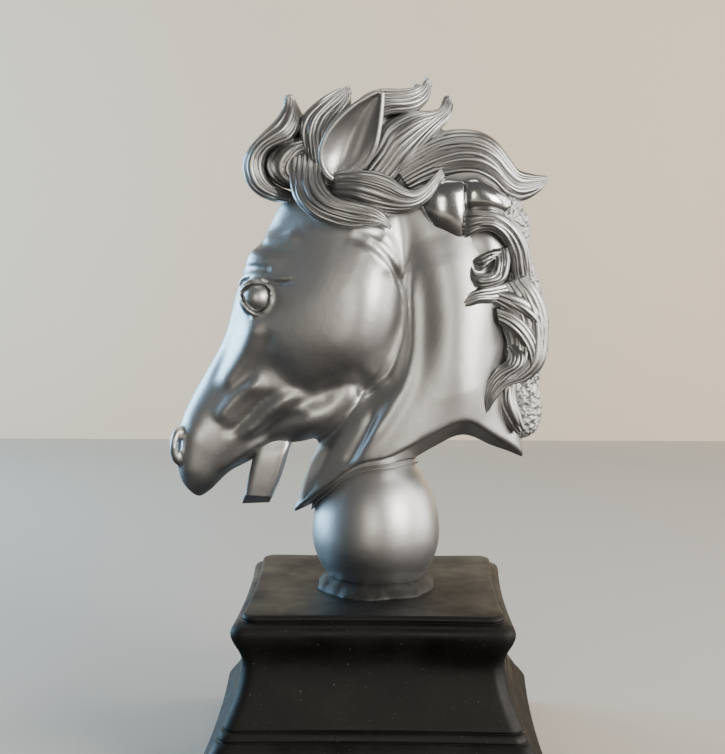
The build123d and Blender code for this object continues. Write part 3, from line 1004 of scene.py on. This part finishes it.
# %% Bead of filler
POCKET_FRONT = [
    ((25.5, 260), (19, 248.6), 3, 14.5),
    ((29, 260.5), (24, 240.5), 4.5, 14.5),
    ((33.5, 260.5), (30, 236.5), 5, 14.3),
    ((38.2, 259.5), (36.8, 231.5), 4.2, 13.8),
    ((40.4, 255), (39.4, 236), 1.6, 13),
]
POCKET_REAR = [
    ((38.0, 258.5), (38.0, 248), 1.6, 13),
    ((39.6, 260.5), (39.6, 246), 4.0, 13.8),
    ((44, 261), (44, 245.5), 5, 13.6),
    ((50, 258.5), (50.5, 245.3), 5.2, 12.6),
    ((55, 255), (55.5, 246), 4, 11.6),
    ((58.4, 252.3), (58.6, 248.5), 1.8, 10.5),
]
POCKET_FLOOR = [
    ((34, 238), (38, 226), 3, 12),
    ((42, 241), (43, 221), 4, 12),
    ((50, 240), (50, 219), 4, 12),
    ((58, 237), (58, 219), 3, 10),
]
print("bead", len(POCKET_FRONT) + len(POCKET_REAR) + len(POCKET_FLOOR), "ribs")

# %% Curls beside the neck
MIDDLE_LOCK = [
    ((36.8, 246), (37.0, 237), 2, 13),
    ((39.2, 247.6), (39.4, 235.3), 4.2, 15),
    ((45, 248), (45, 238), 5.2, 15.5),
    ((51.5, 247.4), (50, 238), 5.5, 14.8),
    ((57.5, 244.4), (54, 235), 5.5, 13.6),
    ((62.5, 239.5), (56.5, 230.5), 5.3, 12.6),
    ((66, 233), (58, 225.2), 5, 11.6),
    ((67.4, 226), (58.8, 219.8), 4.6, 11),
    ((68, 218), (61, 213.5), 3, 10.6),
]
BRIGHT_CURL = [
    ((58, 232), (50, 231), 4, 13.5),
    ((58.5, 225), (51, 226), 5.2, 15),
    ((56.4, 217.8), (49.6, 222), 5.4, 16.2),
    ((50.5, 214.8), (46.6, 221), 5.2, 17.2),
    ((45, 214.2), (43, 221.6), 4.2, 18),
    ((40.8, 217.5), (41.4, 224), 2.0, 18.5),
]
CURL_CAP = [
    ((55, 231), (49, 224.5), 3.4, 16),
    ((50.5, 231), (47.5, 223), 4.0, 16.8),
    ((46, 229.4), (45, 221.4), 3.6, 17.4),
    ((42.4, 227), (42.4, 224.4), 1.6, 17.6),
]
FLAME_LOCK = [
    ((60, 218), (57, 207), 4, 13),
    ((51.5, 216.4), (50.5, 207.6), 4.8, 15.5),
    ((45, 215.2), (45, 207.8), 4.8, 17.4),
    ((40, 212.8), (41.7, 206.6), 4, 18.8),
    ((36.4, 209), (39.4, 205), 2.6, 19.8),
    ((35.8, 205.4), (37.8, 203.6), 0.9, 20.3),
]
print("curls", len(MIDDLE_LOCK) + len(BRIGHT_CURL) + len(CURL_CAP) + len(FLAME_LOCK), "ribs")

# %% Lowest locks
LOWER_LOCK = [
    ((50, 214), (65, 220), 3, 14),
    ((52.5, 205), (71, 213.5), 5, 13.5),
    ((55, 196.5), (75, 204), 5.5, 12.5),
    ((57.2, 189.5), (75.6, 193), 5.5, 12.3),
    ((57, 183.5), (74, 181.6), 5.5, 13),
    ((53.4, 180.4), (67.5, 174.6), 5, 14.5),
    ((50, 176.4), (58, 171.8), 4.5, 16.5),
    ((47.3, 169), (52.8, 166.6), 3.4, 18.3),
    ((46.2, 161.8), (48.8, 160), 0.9, 19.3),
]
LOWER_FAN_HIGH = [
    ((50.6, 214.5), (50.8, 208.5), 2.6, 16.6),
    ((58, 213.5), (57.5, 204), 3.4, 16.4),
    ((65.5, 211), (64, 199.5), 3.6, 15.4),
    ((71.8, 205.4), (68.4, 194.6), 3.2, 14.2),
    ((75, 196), (70.4, 188.6), 2.2, 13.2),
    ((75.6, 188), (73, 184), 0.8, 13),
]
LOWER_FAN_MID = [
    ((52, 206.5), (53.6, 198.6), 2.4, 17),
    ((58.4, 204.6), (58.4, 195), 3.4, 17),
    ((65, 200), (62.8, 190), 3.6, 16.4),
    ((70, 192.6), (65.4, 184.6), 3.4, 15.6),
    ((71.8, 184), (65.6, 179.6), 3.0, 15.4),
    ((69, 177.4), (63.4, 176), 2.2, 15.8),
    ((62.6, 174.4), (58.6, 176.4), 0.9, 16.4),
]
LOWER_FAN_TAIL = [
    ((60.6, 191), (57, 188), 1.2, 15),
    ((64.4, 186.6), (58.4, 184.8), 2.6, 16.8),
    ((63.6, 181), (57.2, 181.6), 3.0, 17.8),
    ((58, 176.4), (52.6, 179.4), 3.0, 18.6),
    ((53.2, 171.6), (48.8, 174.6), 2.6, 19.2),
    ((50, 165.6), (46.8, 167.4), 1.8, 19.8),
    ((48.6, 160.6), (46.6, 161), 0.7, 20),
]
END_LOCK = [
    ((52, 172), (63, 175), 4, 11.5),
    ((53.5, 163), (62, 168), 4.6, 11.5),
    ((57, 155), (64, 160), 4.2, 11.5),
    ((62, 150), (66, 153), 2, 11.5),
]
print("lowest", len(LOWER_LOCK) + len(LOWER_FAN_HIGH) + len(LOWER_FAN_MID) + len(LOWER_FAN_TAIL), "ribs")

# %% Table of locks
# name, ribs, strands, loose strands and the CAD node that the lock stands for
CENTRE_LOCKS = [
    ("hair_core", HAIR_CORE, 0, 0, ()),
    ("forelock_root", FORELOCK_ROOT, 4, 0, ()),
    ("forelock_curl_hair", FORELOCK_CURL, 5, 4, ("forelock_curl",)),
    ("forelock_tuft_hair", FORELOCK_TUFT, 8, 5, ("forelock_tuft",)),
    ("poll_tuft_hair", POLL_TUFT, 6, 4, ("poll_tuft",)),
    ("crown_tuft_hair", CROWN_TUFT, 9, 6, ("crown_tuft",)),
    ("crest_tuft_hair", CREST_TUFT, 10, 7, ("crest_tuft",)),
]
SIDE_LOCKS = [
    ("under_ear_hair", UNDER_EAR, 6, 4, "under_ear_lock"),
    ("poll_side_hair", POLL_SIDE, 5, 4, "poll_side_lock"),
    ("pocket_front", POCKET_FRONT, 0, 0, "mane_pocket"),
    ("pocket_rear", POCKET_REAR, 0, 0, None),
    ("pocket_floor", POCKET_FLOOR, 0, 0, None),
    ("middle_lock_hair", MIDDLE_LOCK, 5, 4, "mane_lock_middle"),
    ("bright_curl_hair", BRIGHT_CURL, 5, 3, "mane_curl"),
    ("curl_cap_hair", CURL_CAP, 4, 2, None),
    ("flame_lock_hair", FLAME_LOCK, 3, 2, None),
    ("lower_lock_hair", LOWER_LOCK, 7, 3, "mane_lock_lower"),
    ("lower_fan_high", LOWER_FAN_HIGH, 3, 1, None),
    ("lower_fan_middle", LOWER_FAN_MID, 3, 1, None),
    ("lower_fan_tail", LOWER_FAN_TAIL, 3, 2, None),
    ("end_lock_hair", END_LOCK, 3, 1, None),
]
BEAD = ("pocket_front", "pocket_rear")
print("locks", len(CENTRE_LOCKS), "in the middle,", len(SIDE_LOCKS), "on each side")

# %% Put the locks on
for number, (name, ribs, strands, loose, nodes) in enumerate(CENTRE_LOCKS):
    piece = lock(name, ribs, strands, seed=number, loose=loose)
    settle(piece, mane_silver, "bright_silver", *nodes)
for number, (name, ribs, strands, loose, node) in enumerate(SIDE_LOCKS):
    for side, word in ((-1, "left"), (1, "right")):
        piece = lock(f"{name}_{word}", ribs, strands, seed=20 + number, side=side, loose=loose)
        finish = bead_silver if name in BEAD else mane_silver
        settle(piece, finish, "bright_silver", *([f"{node}_{word}"] if node else []))
print("locks on")

# %% [markdown]
# ## Broken tips
# Every lock ends in a small torn lump, as if the metal had been broken off its runner. A bump
# in the finish wouldn't show against the light behind it, so balls of a few millimetres, their
# points moved by ridged noise, sit on the tips.


# %% Crinkles of two sizes
def crinkle(obj, coarse, fine, lumps):
    points, normals = points_of(obj), normals_of(obj)
    for k, p in enumerate(points):
        big = 1 - 2 * abs(noise.noise(Vector(p / lumps)))
        small = 1 - 2 * abs(noise.noise(Vector(p / (lumps * 0.35)) + Vector((7, 3, 5))))
        points[k] = p + normals[k] * (coarse * (big - 0.6) + fine * (small - 0.6))
    move_points(obj, points)


print("crinkles ready")

# %% Lumps on the tips
# place, then half width and half height
TIPS = [(-37.2, 0, 293.5, 2.6, 4.0), (-35.5, 0, 287, 4.0, 4.2), (-12.2, 0, 298.4, 1.8, 2.4),
        (22.6, 0, 301.5, 1.9, 3.0), (18.0, 0, 300.6, 1.5, 1.3), (31.4, 0, 293.6, 2.3, 3.2),
        (73.2, 0, 261, 2.2, 1.6), (28.2, -14.5, 258.4, 2.3, 3.2), (28.2, 14.5, 258.4, 2.3, 3.2)]
lumps = []
for x, y, z, wide, high in TIPS:
    deselect()
    bpy.ops.mesh.primitive_ico_sphere_add(subdivisions=5, radius=1.0)
    lump = bpy.context.object
    move_points(lump, points_of(lump) * MM * (wide, 0.5 * (wide + high), high) + (x, y, z))
    crinkle(lump, 0.7, 0.4, 2.4)
    lumps.append(lump)
tips = join("broken_tips", lumps)
settle(tips, rough_silver, "bright_silver")
print("broken tips", len(TIPS))

# %% [markdown]
# ## The rough spine of the mane
# Behind the locks the mane ends in a torn, crinkled edge, as if thin metal had been pressed and
# pulled. A Displace modifier with a texture could do it, but the noise that broke the tips is
# to hand: a plain spine with even faces gets the same crinkles.

# %% Crinkled spine
CREST_BACK = [
    ((42, 258), (62, 253), 8),
    ((46, 244), (67.5, 242), 8.5),
    ((50, 229), (67.5, 230), 8),
    ((54, 216), (73, 213), 8),
    ((58, 200), (76.5, 200), 8),
    ((58, 184), (75, 185), 8),
    ((56, 170), (72.5, 172), 8),
    ((54, 158), (74, 160), 8),
    ((56, 150), (72, 151), 7),
    ((60.5, 145.5), (67, 147.5), 4),
]
spine = lock("crinkled_spine", CREST_BACK, 0, seed=60, rings=120)
melt(spine, 0.5, 0)
crinkle(spine, 1.1, 0.6, 2.3)
settle(spine, rough_silver, "bright_silver", "crest_back")
print("spine", len(spine.data.polygons), "faces")

# %% [markdown]
# ## Ball
# The ball is an egg turned about a vertical line. A scaled sphere would be blunt at the wrong
# end, so its outline is two quarter ellipses, turned into rings. It is not perfectly true: the
# casting was dressed by hand, so a slow noise moves its skin by a tenth of a millimetre.


# %% Egg turned about its axis
def turned(radius_at, heights, centre_x, around=128):
    """Level rings whose radius comes from their height."""
    turn = np.linspace(0, 2 * math.pi, around, endpoint=False)
    return [np.column_stack([centre_x + radius_at(z) * np.cos(turn), radius_at(z) * np.sin(turn),
                             np.full(around, z)]) for z in heights]


ball_low, ball_high = (np.array(corner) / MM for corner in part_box("ball"))
ball_x = (ball_low[0] + ball_high[0]) / 2
ball_r = (ball_high[0] - ball_low[0]) / 2
ball_z = 104.0
crown = ball_high[2] - ball_z


def ball_radius(z):
    rise = crown if z > ball_z else ball_r
    return ball_r * math.sqrt(max(1 - ((z - ball_z) / rise) ** 2, 0.0))


lower_half = -ball_r * np.cos(np.linspace(0.56, math.pi / 2, 30))
upper_half = crown * np.sin(np.linspace(0.03, 1.45, 40))
ball_heights = ball_z + np.concatenate([lower_half, upper_half])
ball = skin("silver_ball", turned(ball_radius, ball_heights, ball_x))
print("ball", round(2 * ball_r, 1), "mm across")

# %% Hand-dressed skin
UNEVEN = 0.12
place = points_of(ball)
outwards = place - (ball_x, 0, ball_z)
outwards /= np.linalg.norm(outwards, axis=1)[:, None]
wobble = np.array([noise.noise(Vector(p / 17.0)) for p in place])
move_points(ball, place + outwards * (UNEVEN * wobble)[:, None])
settle(ball, skin_silver, "satin_silver", "ball")
print("ball moved by up to", round(UNEVEN * float(np.abs(wobble).max()), 2), "mm")

# %% [markdown]
# ## Putty ring
# The putty was pressed in round the ball's foot with a finger, so the ring changes its width
# and height as it goes round, and spreads most in front. A torus has one section all round;
# here each of 180 sections is drawn by itself, from smooth noise.

# %% Sections round the ball
PUTTY_AROUND, PUTTY_SECTION = 180, 20
PUTTY_MIDDLE = 19.0
top_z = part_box("plinth")[1][2] / MM
putty_points = []
for k in range(PUTTY_AROUND):
    a = 2 * math.pi * k / PUTTY_AROUND
    spot = Vector((3 * math.cos(a), 3 * math.sin(a), 0.0))
    spread = 26.0 + 4.0 * max(-math.sin(a), 0.0)
    reach = spread + 1.8 * noise.noise(spot * 0.7) + 0.5 * noise.noise(spot * 1.9)
    tall = 5.4 + 1.4 * noise.noise(spot * 0.8 + Vector((5, 0, 0))) + 0.4 * noise.noise(spot * 2.2)
    for j in range(PUTTY_SECTION):
        b = 2 * math.pi * j / PUTTY_SECTION
        r = PUTTY_MIDDLE + (reach - PUTTY_MIDDLE) * math.cos(b)
        z = top_z + max(tall * math.copysign(abs(math.sin(b)) ** 1.5, math.sin(b)), -0.6)
        putty_points.append((ball_x + r * math.cos(a), r * math.sin(a), z))
print("putty", len(putty_points), "points")

# %% Putty ring
putty_faces = []
for k in range(PUTTY_AROUND):
    here, there = k * PUTTY_SECTION, (k + 1) % PUTTY_AROUND * PUTTY_SECTION
    for j in range(PUTTY_SECTION):
        m = (j + 1) % PUTTY_SECTION
        putty_faces.append((here + j, there + j, there + m, here + m))
putty = mesh_object("putty_ring", putty_points, putty_faces)
crinkle(putty, 0.4, 0.12, 6.0)
settle(putty, putty_black, "putty", "putty_collar")
print("putty ring", len(putty_faces), "faces")

# %% [markdown]
# ## Plinth
# The plinth is a square moulding with slightly hollow sides. A block could be extruded and
# bevelled step by step, but a moulding is best drawn as its profile. Its rings are squares with
# rounded corners, stacked through that profile; every sharp member gets a small radius, since
# cast and painted edges are never knife sharp.

# %% Profile of the moulding
# height and half width in millimetres, from the middle of the top down and under the foot
PROFILE = [
    (80.0, 0.0), (80.0, 40.0), (80.0, 53.4), (79.85, 54.3), (79.4, 54.9), (78.8, 55.2),
    (78.0, 55.3), (77.5, 55.1), (77.2, 54.6), (76.9, 54.9), (76.7, 56.3), (76.4, 57.3),
    (75.6, 58.6), (74.5, 59.4), (73.0, 59.8), (71.3, 59.7), (69.5, 59.2), (67.8, 58.5),
    (66.0, 57.6), (64.0, 56.6), (62.0, 55.9), (60.0, 55.4), (57.5, 55.4), (54.5, 55.8),
    (51.0, 56.5), (47.0, 57.6), (43.5, 58.8), (40.0, 60.2), (36.5, 61.7), (34.0, 62.8),
    (33.4, 63.0), (33.1, 62.8), (32.8, 62.2), (32.5, 62.4), (32.3, 63.5), (32.0, 63.9),
    (30.8, 64.4), (29.6, 64.9), (29.2, 64.9), (28.9, 64.3), (28.6, 64.3), (28.4, 65.3),
    (28.0, 65.9), (25.0, 67.7), (22.0, 69.6), (19.5, 71.6), (17.0, 73.4), (15.2, 74.5),
    (13.8, 74.9), (12.0, 75.0), (3.0, 75.0), (1.9, 74.7), (1.6, 73.8), (1.5, 60.0), (1.5, 0.0),
]
SIDE_BOW = 0.03
print("profile", len(PROFILE), "points")


# %% Square rings stacked through it
def square_ring(half, z, per_side=40, corner=6.0):
    """Square with hollow sides and rounded corners, as closed ring points."""
    if half < 1e-6:
        half = 1e-3
    radius = min(corner, half * 0.3)
    ring = []
    for quarter in range(4):
        turn = quarter * math.pi / 2
        c, s = math.cos(turn), math.sin(turn)
        for v in np.linspace(-(half - radius), half - radius, per_side):
            bow = half * SIDE_BOW * (1 - (v / half) ** 2)
            x, y = half - bow, v
            ring.append((x * c - y * s, x * s + y * c, z))
        for k in range(1, 8):
            a = k / 8 * math.pi / 2
            edge = half * SIDE_BOW * (1 - ((half - radius) / half) ** 2)
            x = half - radius + (radius - edge) * math.cos(a)
            y = half - radius + (radius - edge) * math.sin(a)
            ring.append((x * c - y * s, x * s + y * c, z))
    return ring


plinth = skin("moulded_plinth", [square_ring(half, z) for z, half in PROFILE])
settle(plinth, plinth_black, "plinth_black", "plinth")
print("plinth", len(plinth.data.polygons), "faces")

# %% [markdown]
# ## Hidden and small CAD pieces
# The rod, nut, washer, plate, screws and felt keep their CAD shapes, which are true already.
# Only their slots are filled with a new finish: turned steel, brown board and black felt.

# %% Finishes of the carried pieces
steel, tree, shader = new_material("Turned steel", 1.0)
turning = grain(tree, 700.0)
steel_rough = ramp(tree, turning.outputs["Fac"], grey(0.22), grey(0.40))
tree.links.new(steel_rough.outputs["Color"], shader.inputs["Roughness"])
shader.inputs["Base Color"].default_value = grey(0.45)
board = matt_black("Brown board", 0.05, 0.03, 0.7)
felt = matt_black("Black felt", 0.010, 0.010, 0.95)
CARRIED = {"base_plate": board, "base_felt": felt, "base_plate_screws": steel, "tie_rod": steel,
           "tie_washer": steel, "tie_nut": steel, "neck_insert": steel, "neck_fillet": skin_silver}
for node, material in CARRIED.items():
    obj = bpy.data.objects[node]
    obj.data.materials.clear()
    obj.data.materials.append(material)
print("finished as they are:", ", ".join(CARRIED))

# %% [markdown]
# ## Stage, light and camera
# A pale floor and wall, a cool window behind on the left, a tall narrow light behind the
# camera, and a bright room on the right. One strong lamp would leave most of the silver black,
# because metal shows only its surroundings; broad lights of unlike colour model its forms. A
# dark card that only reflections see lies under the piece, as a dark table would.


# %% Floor, wall and card
def plane(name, size, location, rotation, tone):
    deselect()
    bpy.ops.mesh.primitive_plane_add(size=size, location=location, rotation=rotation)
    obj = bpy.context.object
    obj.name = name
    material, tree, shader = new_material(name, 0.0)
    shader.inputs["Base Color"].default_value = (*tone, 1.0)
    shader.inputs["Roughness"].default_value = 0.85
    obj.data.materials.append(material)
    return obj


plane("floor", 6.0, (0, 0, 0), (0, 0, 0), (0.58, 0.55, 0.50))
plane("wall", 6.0, (0, 0.9, 1.0), (math.radians(90), 0, 0), (0.90, 0.74, 0.56))
table_card = plane("table_card", 1.7, (0, 0, 0.0005), (0, 0, 0), (0.035, 0.028, 0.025))
for name in ("visible_camera", "visible_diffuse", "visible_shadow", "visible_transmission"):
    setattr(table_card, name, False)
print("stage set")


# %% Lights
# name, place, what it looks at, size, watts and colour
LIGHTS = [
    ("window", (-0.90, 0.40, 0.30), (0, 0, 0.22), (0.75, 0.75), 17.0, (0.42, 0.72, 1.0)),
    ("key", (-0.12, -1.25, 0.36), (0, 0, 0.2), (0.20, 0.50), 2.7, (1.0, 0.94, 0.80)),
    ("soft_right", (0.80, -0.74, 0.46), (0, 0, 0.2), (0.50, 0.50), 14.0, (1.0, 0.94, 0.84)),
    ("bright_room", (1.05, 0.05, 0.45), (0, 0, 0.2), (0.80, 0.90), 11.0, (1.0, 0.95, 0.88)),
    ("overhead", (0.0, 0.2, 1.3), (0, 0, 0.2), (0.6, 0.5), 3.0, (1.0, 0.95, 0.86)),
]


def area_light(name, location, target, size, power, colour):
    light = bpy.data.lights.new(name, "AREA")
    light.shape = "RECTANGLE"
    light.size, light.size_y = size
    light.energy = power
    light.color = colour
    obj = bpy.data.objects.new(name, light)
    obj.location = location
    aim = Vector(target) - Vector(location)
    obj.rotation_euler = aim.to_track_quat("-Z", "Y").to_euler()
    bpy.context.scene.collection.objects.link(obj)


for row in LIGHTS:
    area_light(*row)
print("lights", len(LIGHTS))

# %% The room's own dim light
world = bpy.data.worlds.new("room")
world.use_nodes = True
background = world.node_tree.nodes["Background"]
background.inputs["Color"].default_value = (0.62, 0.60, 0.57, 1.0)
background.inputs["Strength"].default_value = 0.22
bpy.context.scene.world = world
print("room light", round(background.inputs["Strength"].default_value, 2))

# %% Camera
LOOKS_DOWN, TURNED = 6.7, 1.3
camera_data = bpy.data.cameras.new("camera")
camera_data.sensor_fit = "AUTO"
camera_data.sensor_width = 36.0
camera_data.lens = 69.2
camera = bpy.data.objects.new("camera", camera_data)
camera.location = (0.009, -0.640, 0.249)
camera.rotation_euler = (math.radians(90 - LOOKS_DOWN), 0.0, math.radians(TURNED))
bpy.context.scene.collection.objects.link(camera)
bpy.context.scene.camera = camera
print("camera", camera_data.lens, "mm")
